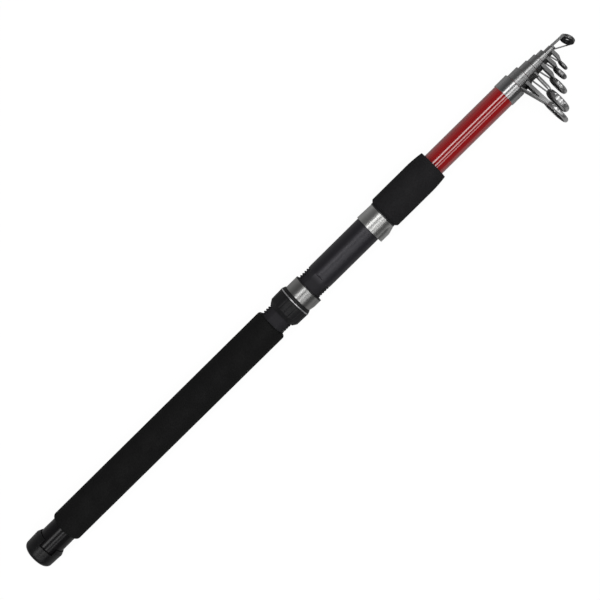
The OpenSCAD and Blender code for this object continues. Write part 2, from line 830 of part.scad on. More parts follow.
// Rear brace of guide k from the sleeve's rear end to the rim, narrow or as wide as the sleeve,
// and where it is wide, the webs that close its sides near the rim
module guide_brace(k) {
    wide = guide_is_wide[k - 1];
    reach = cup_r(k) - rim_t(k) / 2;
    wall_r = cup_mid_r(k) + reach * cos(brace_angle);
    side = wide ? min(carrier_r(k), wall_r - sheet_t) : min(brace_w, carrier_r(k) / 2) / 2;
    root = [carrier_rear(k), -saddle_share * carrier_r(k)];
    far = ring_far(k) - sqrt(wall_r * wall_r - side * side);
    end = leaned(k, cup_x(k) - reach * sin(brace_angle), far);
    thick = [brace_t, 0];
    web_start = root + web_share * (end - root);
    linear_extrude(2 * side, center = true)
        polygon([root, root + thick, end + thick, end]);
    if (wide)
        for (z = [-side + web_inset, side - web_inset - web_t])
            translate([0, 0, z])
                linear_extrude(web_t)
                    polygon([
                        web_start, end, leaned(k, sheet_t / 2, far),
                        leaned(k, sheet_t / 2, -web_start[1])
                    ]);
}

// Half band of guide k around the sleeve
module guide_saddle(k) {
    r = carrier_r(k) + sheet_t;
    x0 = carrier_rear(k);
    intersection() {
        cone(x0, plate_x(k) + sheet_t, r, r);
        translate([x0 - 1, -2 * r, -r])
            cube([carrier_len(k), 2 * r - saddle_share * carrier_r(k), 2 * r]);
    }
}

module guide_frame(k) {
    bore_r = carrier_r(k) + glue_gap;
    color([0.5, 0.5, 0.51])
        difference() {
            union() {
                guide_plate(k);
                guide_flanges(k);
                guide_brace(k);
                guide_saddle(k);
                round_ring(k, cup_r(k));
            }
            cone(carrier_rear(k) - 1, carrier_rear(k) + carrier_len(k) + 1, bore_r, bore_r);
            round_ring(k, hollow_r(k));
            at_ring(k)
                cone(-4 * cup_r(k), 4 * cup_r(k), cup_mid_r(k), cup_mid_r(k));
            rim_holes(k);
        }
}

// Black ring in the rear half of guide k's hollow rim, round on the inside
module guide_ring(k) {
    r = hollow_r(k) - glue_gap;
    color([0.05, 0.05, 0.06])
        at_ring(k)
            turned()
                translate([cup_mid_r(k), cup_x(k)])
                    intersection() {
                        circle(r = r);
                        translate([-r, -2 * r])
                            square([2 * r, 2 * r]);
                    }
}

module guide_5_sleeve() {
    outer_r = loose_sleeve_d / 2;
    color([0.7, 0.7, 0.72])
        sleeve(loose_sleeve_x, loose_sleeve_front, outer_r, outer_r - loose_sleeve_wall);
}

// Places its children in the middle of the end guide
module at_tip_ring() {
    rotate([-tip_twist, 0, 0])
        translate([tip_ring_x, -tip_ring_offset, 0])
            rotate([0, 0, tip_lean])
                children();
}

module tip_top_frame() {
    tube_r = tip_tube_d / 2;
    leg_x = loose_sleeve_front + 2 * slide_gap;
    color([0.5, 0.5, 0.51])
        difference() {
            union() {
                cone(tip_tube_x, tip_tube_front, tube_r, tube_r);
                at_tip_ring()
                    sleeve(-tip_rim_len / 2, tip_rim_len / 2, tip_rim_r, tip_rim_r - tip_rim_wall);
                rotate([-tip_twist, 0, 0])
                    for (side = [-1, 1])
                        strip(
                            [leg_x, 0, side * tube_r],
                            [tip_ring_x, -tip_ring_offset, side * (tip_rim_r + tip_leg_t / 2)],
                            tip_leg_w, tip_leg_t, -side * tip_leg_roll
                        );
            }
            cone(tip_tube_x, tip_front + glue_gap, tip_r(tip_tube_x) + glue_gap, tip_d / 2 + glue_gap);
            at_tip_ring()
                cone(-tip_rim_len, tip_rim_len, tip_rim_r - tip_rim_wall, tip_rim_r - tip_rim_wall);
        }
}

module tip_top_ring() {
    outer_r = tip_rim_r - tip_rim_wall - glue_gap;
    half = tip_ring_t / 2;
    color([0.05, 0.05, 0.06])
        at_tip_ring()
            turned()
                translate([outer_r - half, 0])
                    union() {
                        circle(r = half);
                        translate([0, -half])
                            square([half, 2 * half]);
                    }
}

butt_cap();
cap_plug();
cap_pad();
cap_seal();
butt_insert();
butt_blank();
rear_grip();
reel_seat_barrel();
seat_arbors();
lock_nut();
nut_trim_ring();
sliding_hood();
hood_liner();
fixed_hood();
seat_end_ring();
fore_grip();
front_ferrule();
section_blank(2);  // section_2_blank
section_blank(3);  // section_3_blank
section_blank(4);  // section_4_blank
section_blank(5);  // section_5_blank
tip_blank();
section_sleeve(2);  // section_2_sleeve
section_sleeve(3);  // section_3_sleeve
section_sleeve(4);  // section_4_sleeve
section_sleeve(5);  // section_5_sleeve
guide_frame(1);  // guide_1_frame
guide_frame(2);  // guide_2_frame
guide_frame(3);  // guide_3_frame
guide_frame(4);  // guide_4_frame
guide_frame(5);  // guide_5_frame
guide_ring(1);  // guide_1_ring
guide_ring(2);  // guide_2_ring
guide_ring(3);  // guide_3_ring
guide_ring(4);  // guide_4_ring
guide_ring(5);  // guide_5_ring
guide_5_sleeve();
tip_top_frame();
tip_top_ring();
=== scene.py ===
import math

import bmesh
import bpy
from mathutils import Matrix, Vector, noise


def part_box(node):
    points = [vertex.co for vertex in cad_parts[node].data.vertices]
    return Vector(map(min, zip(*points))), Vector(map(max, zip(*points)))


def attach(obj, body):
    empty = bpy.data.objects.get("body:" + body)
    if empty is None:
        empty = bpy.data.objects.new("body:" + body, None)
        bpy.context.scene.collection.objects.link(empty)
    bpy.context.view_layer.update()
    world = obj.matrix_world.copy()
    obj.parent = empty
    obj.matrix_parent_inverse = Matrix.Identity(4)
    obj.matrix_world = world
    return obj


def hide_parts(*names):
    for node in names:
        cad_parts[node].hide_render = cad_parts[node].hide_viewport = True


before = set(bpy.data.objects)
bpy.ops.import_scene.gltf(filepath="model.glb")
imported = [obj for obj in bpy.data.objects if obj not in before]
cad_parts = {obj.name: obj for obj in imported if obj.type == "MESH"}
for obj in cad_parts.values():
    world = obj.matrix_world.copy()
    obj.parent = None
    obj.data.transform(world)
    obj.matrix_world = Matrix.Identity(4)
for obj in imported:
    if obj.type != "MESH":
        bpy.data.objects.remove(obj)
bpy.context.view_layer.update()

scene = bpy.context.scene
mm = 0.001
black = (0.0, 0.0, 0.0)


# Node trees: sums on a Tap add Math nodes, any other node comes from NodeBook.node

class Tap:
    def __init__(self, book, socket):
        self.book = book
        self.socket = socket

    def sum(self, operation, other, swap=False):
        first, second = (other, self) if swap else (self, other)
        return self.book.node("ShaderNodeMath", {"operation": operation}, {0: first, 1: second})

    def __add__(self, other):
        return self.sum("ADD", other)

    def __sub__(self, other):
        return self.sum("SUBTRACT", other)

    def __rsub__(self, other):
        return self.sum("SUBTRACT", other, True)

    def __mul__(self, other):
        return self.sum("MULTIPLY", other)

    def __rmul__(self, other):
        return self.sum("MULTIPLY", other, True)

    def __truediv__(self, other):
        return self.sum("DIVIDE", other)

    def __gt__(self, other):
        return self.sum("GREATER_THAN", other)

    def __lt__(self, other):
        return self.sum("LESS_THAN", other)

    def __mod__(self, other):
        return self.sum("FLOORED_MODULO", other)

    def atMost(self, other):
        return self.sum("MINIMUM", other)

    def atLeast(self, other):
        return self.sum("MAXIMUM", other)

    def only(self, operation):  # sine, cosine, round and other sums of one value
        return self.book.node("ShaderNodeMath", {"operation": operation}, {0: self})

    def mixed(self, other, share):  # this value's share, and the rest of the other
        return self * share + other * (1.0 - share)

    def ramp(self, low, high, fromValue=0.0, toValue=1.0, smooth=False):
        settings = {"interpolation_type": "SMOOTHSTEP" if smooth else "LINEAR", "clamp": True}
        sockets = {0: self, 1: low, 2: high, 3: fromValue, 4: toValue}
        return self.book.node("ShaderNodeMapRange", settings, sockets)


class NodeBook:
    def __init__(self, tree):
        self.tree = tree

    def node(self, kind, settings=None, sockets=None, out=0):
        made = self.tree.nodes.new(kind)
        for key, value in (settings or {}).items():
            setattr(made, key, value)
        for key, value in (sockets or {}).items():
            self.feed(made.inputs[key], value)
        return Tap(self, made.outputs[out])

    def feed(self, socket, value):
        if isinstance(value, Tap):
            self.tree.links.new(value.socket, socket)
        else:
            socket.default_value = value

    def parts(self, vector):  # X, Y and Z of a vector
        ends = self.node("ShaderNodeSeparateXYZ", sockets={0: vector}).socket.node.outputs
        return [Tap(self, ends[axis]) for axis in "XYZ"]


class Finish(NodeBook):  # one surface finish on Object coordinates
    inputs = {"colour": "Base Color", "rough": "Roughness", "metal": "Metallic", "coat": "Coat Weight",
              "coatRough": "Coat Roughness", "coatIor": "Coat IOR", "specular": "Specular IOR Level",
              "tint": "Specular Tint"}

    def __init__(self, name):
        self.material = bpy.data.materials.new(name)
        self.material.use_nodes = True
        super().__init__(self.material.node_tree)
        self.shader = self.tree.nodes["Principled BSDF"]
        self.place = self.node("ShaderNodeTexCoord", out="Object")
        self.x, self.y, _ = self.parts(self.place)

    def grain(self, scale, detail=2.0, rough=0.5):  # noise, its scale per metre alike or apart in X, Y and Z
        scale = scale if isinstance(scale, tuple) else (scale, scale, scale)
        spread = self.node("ShaderNodeMapping", sockets={"Vector": self.place, "Scale": scale})
        sockets = {"Vector": spread, "Scale": 1.0, "Detail": detail, "Roughness": rough}
        return self.node("ShaderNodeTexNoise", sockets=sockets)

    def cells(self, scale):
        return self.node("ShaderNodeTexVoronoi", {"feature": "F1"}, {"Vector": self.place, "Scale": scale})

    def between(self, share, first, second):
        first = first if isinstance(first, Tap) else (*first, 1.0)
        second = second if isinstance(second, Tap) else (*second, 1.0)
        return self.node("ShaderNodeMix", {"data_type": "RGBA"}, {0: share, 6: first, 7: second}, out=2)

    def bump(self, height, strength, distance):
        sockets = {"Strength": strength, "Distance": distance, "Height": height}
        self.feed(self.shader.inputs["Normal"], self.node("ShaderNodeBump", sockets=sockets))

    def set(self, **values):
        for key, value in values.items():
            if isinstance(value, tuple):
                value = (*value, 1.0)
            self.feed(self.shader.inputs[self.inputs[key]], value)


# Finishes: scales are per metre, a span is the part of a noise that is used, a bump is strength and distance

def lacquerFinish(name, blackUntil):
    look = {"red": (0.33, 0.003, 0.005), "deepRed": (0.25, 0.002, 0.003), "black": (0.0056, 0.0053, 0.0060),
            "fibre": (26.0, 900.0, 900.0), "fibreDetail": 3.0, "fibreSpan": (0.30, 0.70), "fibreShare": 0.7,
            "cloud": 60.0, "roughSpan": (0.2, 0.8), "rough": (0.07, 0.12), "satin": 0.11, "specular": 0.27,
            "coatRough": 0.05, "coatIor": 1.85, "ripple": 160.0, "rippleDetail": 1.0, "bump": (0.02, 0.0002)}
    f = Finish(name)
    fibre = f.grain(look["fibre"], look["fibreDetail"])
    painted = f.x > blackUntil  # red in front, satin black at the butt
    depth = fibre.ramp(*look["fibreSpan"]).mixed(f.grain(look["cloud"]), look["fibreShare"])
    f.set(colour=f.between(painted, look["black"], f.between(depth, look["deepRed"], look["red"])))
    f.set(rough=fibre.ramp(*look["roughSpan"], *look["rough"]) + (1.0 - painted) * look["satin"])
    f.set(specular=look["specular"], coat=painted, coatRough=look["coatRough"], coatIor=look["coatIor"])
    f.bump(f.grain(look["ripple"], look["rippleDetail"]), *look["bump"])
    return f.material


def tipFinish():
    look = {"white": (0.72, 0.71, 0.66), "ivory": (0.60, 0.58, 0.50), "fibre": (20.0, 1500.0, 1500.0),
            "detail": 3.0, "span": (0.2, 0.8), "rough": (0.30, 0.42), "coat": 0.6, "coatRough": 0.08,
            "bump": (0.08, 0.0001)}
    f = Finish("glassFibre")
    fibre = f.grain(look["fibre"], look["detail"])
    f.set(colour=f.between(fibre, look["ivory"], look["white"]))
    f.set(rough=fibre.ramp(*look["span"], *look["rough"]), coat=look["coat"], coatRough=look["coatRough"])
    f.bump(fibre, *look["bump"])
    return f.material


def foamFinish():
    look = {"rear": (0.0069, 0.0069, 0.0070), "fore": (0.0172, 0.0167, 0.0182), "foreFrom": 0.39,
            "cell": 1500.0, "cellSpan": (0.15, 0.75), "cellShare": 0.75, "pit": 0.55, "cloud": 90.0,
            "cloudDetail": 3.0, "span": (0.3, 0.7), "rough": (0.78, 0.92), "specular": 0.18,
            "fine": 5200.0, "cellBump": 0.7, "bump": (0.35, 0.00012)}
    f = Finish("gripFoam")
    cell = f.cells(look["cell"])
    cloud = f.grain(look["cloud"], look["cloudDetail"])
    pit = cell.ramp(*look["cellSpan"]).mixed(cloud, look["cellShare"])
    skinWithFalloffShade = f.between(f.x > look["foreFrom"], look["rear"], look["fore"])  # the rear grip is painted darker, painted shade for light falling off towards the butt; the fore grip is the paler one
    f.set(colour=f.between(pit * look["pit"], skinWithFalloffShade, black))
    f.set(rough=cloud.ramp(*look["span"], *look["rough"]), specular=look["specular"])
    f.bump(cell.mixed(f.grain(look["fine"]), look["cellBump"]), *look["bump"])
    return f.material


def seatFinish():
    look = {"dark": (0.0068, 0.0064, 0.0086), "grey": (0.0095, 0.0090, 0.0115), "streak": (7.0, 320.0, 320.0),
            "streakForm": (4.0, 0.6), "streakSpan": (0.3, 0.7), "streakShare": 0.8, "fleck": 4200.0,
            "fleckDetail": 1.0, "dullUntil": (0.3215, 0.3290), "dullRough": 0.38, "dullShade": 0.45,
            "roughSpan": (0.25, 0.75), "rough": (0.37, 0.42), "specular": 0.57, "tint": (0.95, 0.93, 1.0),
            "streakBump": 0.6, "bump": (0.01, 0.00004)}
    f = Finish("seatGraphite")
    dull = f.x.ramp(*look["dullUntil"], 1.0, 0.0, smooth=True)  # the nut and hood rub the threaded end matt
    streak = f.grain(look["streak"], *look["streakForm"])
    fleck = f.grain(look["fleck"], look["fleckDetail"])
    worn = streak.ramp(*look["streakSpan"]).mixed(fleck, look["streakShare"])
    f.set(colour=f.between(dull * look["dullShade"], f.between(worn, look["dark"], look["grey"]), black))
    f.set(rough=streak.ramp(*look["roughSpan"], *look["rough"]) + dull * look["dullRough"])
    f.set(specular=look["specular"], tint=look["tint"])
    f.bump(streak.mixed(fleck, look["streakBump"]), *look["bump"])
    return f.material


def nutFinish():
    look = {"black": (0.006, 0.006, 0.0068), "worn": (0.011, 0.011, 0.012), "spark": 3600.0, "cloud": 160.0,
            "cloudDetail": 3.0, "wornSpan": (0.35, 0.75), "roughSpan": (0.3, 0.7), "rough": (0.46, 0.56),
            "specular": 0.26, "bump": (0.03, 0.00004)}
    f = Finish("nutPlastic")
    spark = f.grain(look["spark"])
    cloud = f.grain(look["cloud"], look["cloudDetail"])
    f.set(colour=f.between(cloud.ramp(*look["wornSpan"]), look["black"], look["worn"]))
    f.set(rough=spark.ramp(*look["roughSpan"], *look["rough"]), specular=look["specular"])
    f.bump(spark, *look["bump"])
    return f.material


def blackPlasticFinish(name, shade, rough):
    look = {"cloud": 240.0, "cloudDetail": 3.0, "darker": 0.7, "span": (0.3, 0.7), "fine": 3000.0,
            "bump": (0.12, 0.00006)}
    f = Finish(name)
    cloud = f.grain(look["cloud"], look["cloudDetail"])
    f.set(colour=f.between(cloud, tuple(look["darker"] * c for c in shade), shade))
    f.set(rough=cloud.ramp(*look["span"], *rough))
    f.bump(f.grain(look["fine"]), *look["bump"])
    return f.material


def rubberFinish():
    look = {"black": (0.004, 0.004, 0.0045), "dusty": (0.009, 0.009, 0.0095), "cloud": 130.0,
            "cloudForm": (4.0, 0.6), "dustSpan": (0.4, 0.8), "roughSpan": (0.25, 0.75), "rough": (0.32, 0.42),
            "specular": 0.34, "pore": 2600.0, "bump": (0.06, 0.00005)}
    f = Finish("capRubber")
    cloud = f.grain(look["cloud"], *look["cloudForm"])
    f.set(colour=f.between(cloud.ramp(*look["dustSpan"]), look["black"], look["dusty"]))
    f.set(rough=cloud.ramp(*look["roughSpan"], *look["rough"]), specular=look["specular"])
    f.bump(f.grain(look["pore"]), *look["bump"])
    return f.material


metal = {"lineForm": (3.0, 0.65), "lineSpan": (0.3, 0.7), "lineShare": 0.6, "cloud": 110.0,
         "cloudDetail": 3.0, "roughSpan": (0.25, 0.75)}


def brushed(f, look, steel, worn=black, shade=None, dull=None):  # fine lines, with any shade on top
    line = f.grain(look["lines"], *metal["lineForm"])
    cloud = f.grain(metal["cloud"], metal["cloudDetail"])
    wear = line.ramp(*metal["lineSpan"]).mixed(cloud, metal["lineShare"]) * look["wear"]
    rough = line.ramp(*metal["roughSpan"], *look["rough"])
    f.set(colour=f.between(wear if shade is None else wear + shade, steel, worn), metal=1.0)
    f.set(rough=rough if dull is None else rough + dull)
    f.bump(line, *look["bump"])
    return f.material


def hoodFinish():
    look = {"sliding": (0.37, 0.37, 0.365), "fixed": (0.54, 0.54, 0.53), "fixedFrom": 0.35, "wear": 0.16,
            "lines": (2600.0, 60.0, 60.0), "rough": (0.30, 0.34), "bump": (0.002, 0.00001)}
    f = Finish("hoodSteel")
    return brushed(f, look, f.between(f.x > look["fixedFrom"], look["sliding"], look["fixed"]))


def sleeveFinish():
    look = {"steel": (0.44, 0.44, 0.44), "wear": 0.16, "nestedFrom": 0.5424, "nestedRough": 0.09,
            "nestedShade": 0.10, "shadedSideSpan": (-0.0012, 0.0002), "sideShadeDepth": 0.36,
            "lines": (2400.0, 50.0, 50.0), "rough": (0.195, 0.285), "bump": (0.006, 0.00001)}
    f = Finish("sleeveSteel")
    nested = f.x > look["nestedFrom"]  # the sleeves are duller than the ferrule behind them
    guideSideShade = f.y.ramp(*look["shadedSideSpan"], look["sideShadeDepth"], 0.0, smooth=True)  # painted shade: the sleeve's side towards the guides is darkened, dimming the strips' highlights there
    shade = nested * (guideSideShade + look["nestedShade"])
    return brushed(f, look, look["steel"], shade=shade, dull=nested * look["nestedRough"])


def guideFinish():
    look = {"arm": (0.21, 0.21, 0.21), "rim": (0.62, 0.62, 0.62), "rimSpan": (-0.034, -0.014), "wear": 0.24,
            "lines": 300.0, "rough": (0.28, 0.37), "bump": (0.01, 0.00002)}
    f = Finish("guideGunmetal")
    rimLightArmShade = f.y.ramp(*look["rimSpan"], 1.0, 0.0)  # painted light and shade: the far rims are painted brighter and the arms near the rod darker, for how light falls on them
    return brushed(f, look, f.between(rimLightArmShade, look["arm"], look["rim"]))


def trimFinish():
    look = {"dull": (0.58, 0.58, 0.59), "bright": (0.66, 0.66, 0.67), "wear": 1.0,
            "lines": (600.0, 100.0, 100.0), "rough": (0.30, 0.39), "bump": (0.01, 0.00002)}
    return brushed(Finish("trimChrome"), look, look["dull"], look["bright"])


def ceramicFinish():
    look = {"black": (0.005, 0.005, 0.006), "grey": (0.012, 0.012, 0.014), "fine": 1800.0, "span": (0.3, 0.7),
            "rough": (0.34, 0.46), "specular": 0.30}
    f = Finish("ringCeramic")
    fine = f.grain(look["fine"])
    f.set(colour=f.between(fine, look["black"], look["grey"]))
    f.set(rough=fine.ramp(*look["span"], *look["rough"]), specular=look["specular"])
    return f.material


def padFinish(name, light, dark, scale):
    look = {"span": (0.1, 0.7), "rough": (0.80, 0.95), "bump": (0.3, 0.0001)}
    f = Finish(name)
    cell = f.cells(scale)
    f.set(colour=f.between(cell.ramp(*look["span"]), light, dark))
    f.set(rough=cell.ramp(*look["span"], *look["rough"]))
    f.bump(cell, *look["bump"])
    return f.material


noBlack, buttBlack = -1.0, 0.15  # where along the rod the black lacquer ends
finishes = {
    "blank_red": lacquerFinish("lacquerRed", noBlack),
    "tip_white": tipFinish(),
    "grip_foam": foamFinish(),
    "seat_plastic": seatFinish(),
    "nut_plastic": nutFinish(),
    "liner_plastic": blackPlasticFinish("linerPlastic", (0.010, 0.010, 0.011), (0.36, 0.50)),
    "plug_plastic": blackPlasticFinish("plugPlastic", (0.020, 0.020, 0.022), (0.42, 0.56)),
    "cap_rubber": rubberFinish(),
    "hood_steel": hoodFinish(),
    "sleeve_steel": sleeveFinish(),
    "guide_steel": guideFinish(),
    "trim_chrome": trimFinish(),
    "ring_ceramic": ceramicFinish(),
    "pad_foam": padFinish("padFoam", (0.09, 0.075, 0.055), (0.04, 0.033, 0.025), 1300.0),
    "arbor_tape": padFinish("arborTape", (0.52, 0.44, 0.29), (0.40, 0.33, 0.21), 900.0),
}
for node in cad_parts.values():
    for place in node.material_slots:
        place.material = finishes[place.material.name]
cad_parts["butt_blank"].material_slots[0].material = lacquerFinish("lacquerButt", buttBlack)
print("finishes:", len(finishes) + 1)


# Turned pieces

def filleted(outline, steps):  # closed outline of (x, r, corner radius) with its corners rounded
    points = []
    count = len(outline)
    for i, (x, r, corner) in enumerate(outline):
        here = Vector((x, r))
        if corner <= 0:
            points.append((x, r))
            continue
        back = (Vector(outline[i - 1][:2]) - here).normalized()
        ahead = (Vector(outline[(i + 1) % count][:2]) - here).normalized()
        half = back.angle(ahead) / 2
        centre = here + (back + ahead).normalized() * corner / math.sin(half)
        start = here + back * corner / math.tan(half) - centre
        end = here + ahead * corner / math.tan(half) - centre
        turn = start.angle_signed(end)
        for k in range(steps + 1):
            p = centre + Matrix.Rotation(-turn * k / steps, 2) @ start
            points.append((p.x, p.y))
    return points


def pieceFrom(mesh, name, finish, sharp):
    mesh.materials.clear()
    mesh.materials.append(finish)
    mesh.shade_smooth()
    mesh.set_sharp_from_angle(angle=math.radians(sharp))
    piece = bpy.data.objects.new(name, mesh)
    scene.collection.objects.link(piece)
    return piece


def faceOutward(work, mesh):
    bmesh.ops.recalc_face_normals(work, faces=work.faces)
    work.to_mesh(mesh)
    work.free()


def turnedMesh(name, outline, steps, swell=None):
    work = bmesh.new()
    rings = []
    for x, r in outline:
        ring = []
        for k in range(steps):
            angle = 2 * math.pi * k / steps
            away = Vector((0, math.cos(angle), math.sin(angle)))
            grown = r + swell(Vector((x, 0, 0)) + away * r) if swell else r
            ring.append(work.verts.new(Vector((x, 0, 0)) + away * grown))
        rings.append(ring)
    for here, there in zip(rings, rings[1:] + rings[:1]):
        for k in range(steps):
            after = (k + 1) % steps
            work.faces.new((here[k], here[after], there[after], there[k]))
    mesh = bpy.data.meshes.new(name)
    faceOutward(work, mesh)
    return mesh


def drawnOut(outline, longest):  # extra points on long straight runs
    points = []
    for here, there in zip(outline, outline[1:] + outline[:1]):
        parts = max(1, math.ceil((Vector(there) - Vector(here)).length / longest))
        for k in range(parts):
            points.append(tuple(Vector(here).lerp(Vector(there), k / parts)))
    return points


def dressed(piece, body, slot, *nodes):
    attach(piece, body)
    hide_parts(*nodes)
    return piece


# Foam grips

foam = {"steps": 128, "sharp": 60.0}
rearGrip = {"boreRear": 11.765 * mm, "boreFront": 10.135 * mm, "round": 2.4 * mm, "lip": 0.5 * mm,
            "corner": 8, "row": 2.2 * mm, "wave": 0.05 * mm, "waveScale": 70.0}
foreGrip = {"bore": 10.02 * mm, "boreFront": 9.93 * mm, "chamfer": 2.0 * mm, "rearEdge": 0.5 * mm,
            "shoulder": 0.8 * mm, "taper": 17.0 * mm, "frontR": 13.2 * mm, "edge": 0.45 * mm, "lip": 0.3 * mm,
            "corner": 6, "row": 1.6 * mm, "wave": 0.04 * mm, "waveScale": 80.0, "bowSteps": 10}


def foamPiece(name, node, outline, size):
    def swell(p):
        return size["wave"] * noise.noise(p * size["waveScale"])

    rows = drawnOut(filleted(outline, size["corner"]), size["row"])
    mesh = turnedMesh(name, rows, foam["steps"], swell)
    piece = pieceFrom(mesh, name, finishes["grip_foam"], foam["sharp"])
    return dressed(piece, "handle", "grip_foam", node)


def makeRearGrip(size):
    low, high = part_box("rear_grip")
    r = high.z - size["wave"]
    return foamPiece("rearGrip", "rear_grip", [
        (low.x, r, size["round"]), (high.x, r, size["round"]),
        (high.x, size["boreFront"], size["lip"]), (low.x, size["boreRear"], size["lip"])], size)


def makeForeGrip(size):
    low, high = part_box("fore_grip")
    r = high.z - size["wave"]
    drop = r - size["frontR"]
    bowR = (size["taper"] ** 2 + drop ** 2) / (2 * drop)
    bow = []
    for k in range(size["bowSteps"]):
        run = size["taper"] * k / size["bowSteps"]
        bow.append((high.x - size["taper"] + run, r - bowR + math.sqrt(bowR ** 2 - run ** 2), 0))
    return foamPiece("foreGrip", "fore_grip", [
        (low.x, r - size["chamfer"], size["rearEdge"]), (low.x + size["chamfer"], r, size["shoulder"]), *bow,
        (high.x, size["frontR"], size["edge"]), (high.x, size["boreFront"], size["lip"]),
        (low.x, size["bore"], size["lip"])], size)


makeRearGrip(rearGrip)
makeForeGrip(foreGrip)
print("foam grips: 2")


# Sleeves with rolled rims

sleeve = {"roll": 0.34 * mm, "rollShare": 0.45, "edge": 0.05 * mm, "corner": 6, "steps": 160, "sharp": 35.0}
sleeveRows = [  # name, node, body, bore
    ("frontFerrule", "front_ferrule", "handle", 9.885 * mm),
    ("sectionTwoSleeve", "section_2_sleeve", "section_2", 8.405 * mm),
    ("sectionThreeSleeve", "section_3_sleeve", "section_3", 6.955 * mm),
    ("sectionFourSleeve", "section_4_sleeve", "section_4", 5.955 * mm),
    ("sectionFiveSleeve", "section_5_sleeve", "section_5", 4.705 * mm),
    ("looseGuideSleeve", "guide_5_sleeve", "loose_guide", 2.65 * mm),
]


def makeSleeve(name, node, body, bore, size):
    low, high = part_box(node)
    r = high.z
    roll = min(size["roll"], (r - bore) * size["rollShare"])
    outline = filleted([
        (low.x, bore, size["edge"]), (low.x, r, roll), (high.x, r, roll), (high.x, bore, size["edge"])],
        size["corner"])
    mesh = turnedMesh(name, outline, size["steps"])
    piece = pieceFrom(mesh, name, finishes["sleeve_steel"], size["sharp"])
    return dressed(piece, body, "sleeve_steel", node)


for row in sleeveRows:
    makeSleeve(*row, sleeve)
print("sleeves:", len(sleeveRows))


# Geometry Nodes: one tree for each rule, made a plain mesh at the end

class Recipe(NodeBook):
    def __init__(self, name, inputs, takesMesh=False):
        tree = bpy.data.node_groups.new(name, "GeometryNodeTree")
        super().__init__(tree)
        self.sockets = {}
        if takesMesh:
            tree.interface.new_socket("Geometry", in_out="INPUT", socket_type="NodeSocketGeometry")
        for label in inputs:
            made = tree.interface.new_socket(label, in_out="INPUT", socket_type="NodeSocketFloat")
            self.sockets[label] = made.identifier
        made = tree.interface.new_socket("Material", in_out="INPUT", socket_type="NodeSocketMaterial")
        self.sockets["Material"] = made.identifier
        tree.interface.new_socket("Geometry", in_out="OUTPUT", socket_type="NodeSocketGeometry")
        self.start = tree.nodes.new("NodeGroupInput")
        self.end = tree.nodes.new("NodeGroupOutput")

    def value(self, label):
        return Tap(self, self.start.outputs[label])

    def spot(self):  # X, Y and Z of each point
        return self.parts(self.node("GeometryNodeInputPosition"))

    def placed(self, geometry, x, y, z):
        spot = self.node("ShaderNodeCombineXYZ", sockets={0: x, 1: y, 2: z})
        return self.node("GeometryNodeSetPosition", sockets={"Geometry": geometry, "Position": spot})

    def close(self, geometry):
        real = self.node("GeometryNodeRealizeInstances", sockets={0: geometry})
        sockets = {"Geometry": real, "Material": self.value("Material")}
        self.feed(self.end.inputs[0], self.node("GeometryNodeSetMaterial", sockets=sockets))
        return self

    def bake(self, mesh, name, values, finish):
        maker = bpy.data.objects.new(name + "Maker", mesh)
        scene.collection.objects.link(maker)
        modifier = maker.modifiers.new("recipe", "NODES")
        modifier.node_group = self.tree
        for label, value in {**values, "Material": finish}.items():
            modifier[self.sockets[label]] = value
        seen = maker.evaluated_get(bpy.context.evaluated_depsgraph_get())
        made = bpy.data.meshes.new_from_object(seen)
        maker.modifiers.remove(modifier)
        bpy.data.objects.remove(maker)
        work = bmesh.new()
        work.from_mesh(made)
        faceOutward(work, made)
        made.name = name
        return made


# Threaded barrel of the reel seat

barrel = {"Crest": 11.75 * mm, "Depth": 0.92 * mm, "Pitch": 2.4 * mm, "Bore": 10.47 * mm, "Deck": 11.35 * mm,
          "Key": 11.0 * mm, "KeyRamp": 0.9 * mm, "ThreadEnd": 328.0 * mm, "DeckEnd": 393.9 * mm,
          "ThreadRows": 228.0, "PlainRows": 18.0, "Columns": 192.0}
barrelForm = {"tooth": (0.22, 0.70), "sides": (0.62, 0.86), "runOut": (0.6, 0.1), "weld": 0.002 * mm,
              "sharp": 40.0}


def barrelRecipe(form):
    g = Recipe("threadedBarrel", ["Start", "End", *barrel])
    v = g.value
    rows, plain = v("ThreadRows"), v("PlainRows")
    outer = rows + plain  # next come the bore's front and rear ends, then the first row again
    grid = g.node("GeometryNodeMeshGrid", sockets={
        "Size X": 1.0, "Size Y": 1.0, "Vertices X": outer + 4.0, "Vertices Y": v("Columns") + 1.0})
    gridX, gridY, _ = g.spot()
    across = gridY + 0.5
    row = ((gridX + 0.5) * (outer + 3.0)).only("ROUND")
    fromStart = row.atMost(rows) / rows
    fromThread = (row - rows).atMost(plain).atLeast(0.0) / plain
    x = v("Start") + (v("ThreadEnd") - v("Start")) * fromStart + (v("End") - v("ThreadEnd")) * fromThread
    home = row > outer + 1.5
    x = x * (1.0 - home) + v("Start") * home
    inside = (row > outer + 0.5) * (row < outer + 2.5)
    turn = across * (2 * math.pi)
    phase = (x / v("Pitch") - across) % 1.0
    tooth = ((phase - 0.5).only("ABSOLUTE") * 2.0).ramp(*form["tooth"], smooth=True)
    sides = turn.only("COSINE").only("ABSOLUTE").ramp(*form["sides"], smooth=True)  # plain towards the flats
    fade = [v("ThreadEnd") - v("Pitch") * share for share in form["runOut"]]
    r = v("Crest") - v("Depth") * (1.0 - tooth) * (sides * x.ramp(*fade, 1.0, 0.0))
    r = r * (1.0 - inside) + v("Bore") * inside
    deck = x < v("DeckEnd")
    y = (r * turn.only("COSINE")).atLeast(v("Deck") * (-1.0 * deck) + (deck - 1.0))  # no flat beyond the deck
    limit = x.ramp(v("ThreadEnd") - v("KeyRamp"), v("ThreadEnd"), v("Key"), v("Crest"))
    z = (r * turn.only("SINE")).atMost(limit).atLeast(limit * -1.0)
    sockets = {"Geometry": g.placed(grid, x, y, z), "Distance": form["weld"]}
    return g.close(g.node("GeometryNodeMergeByDistance", sockets=sockets))


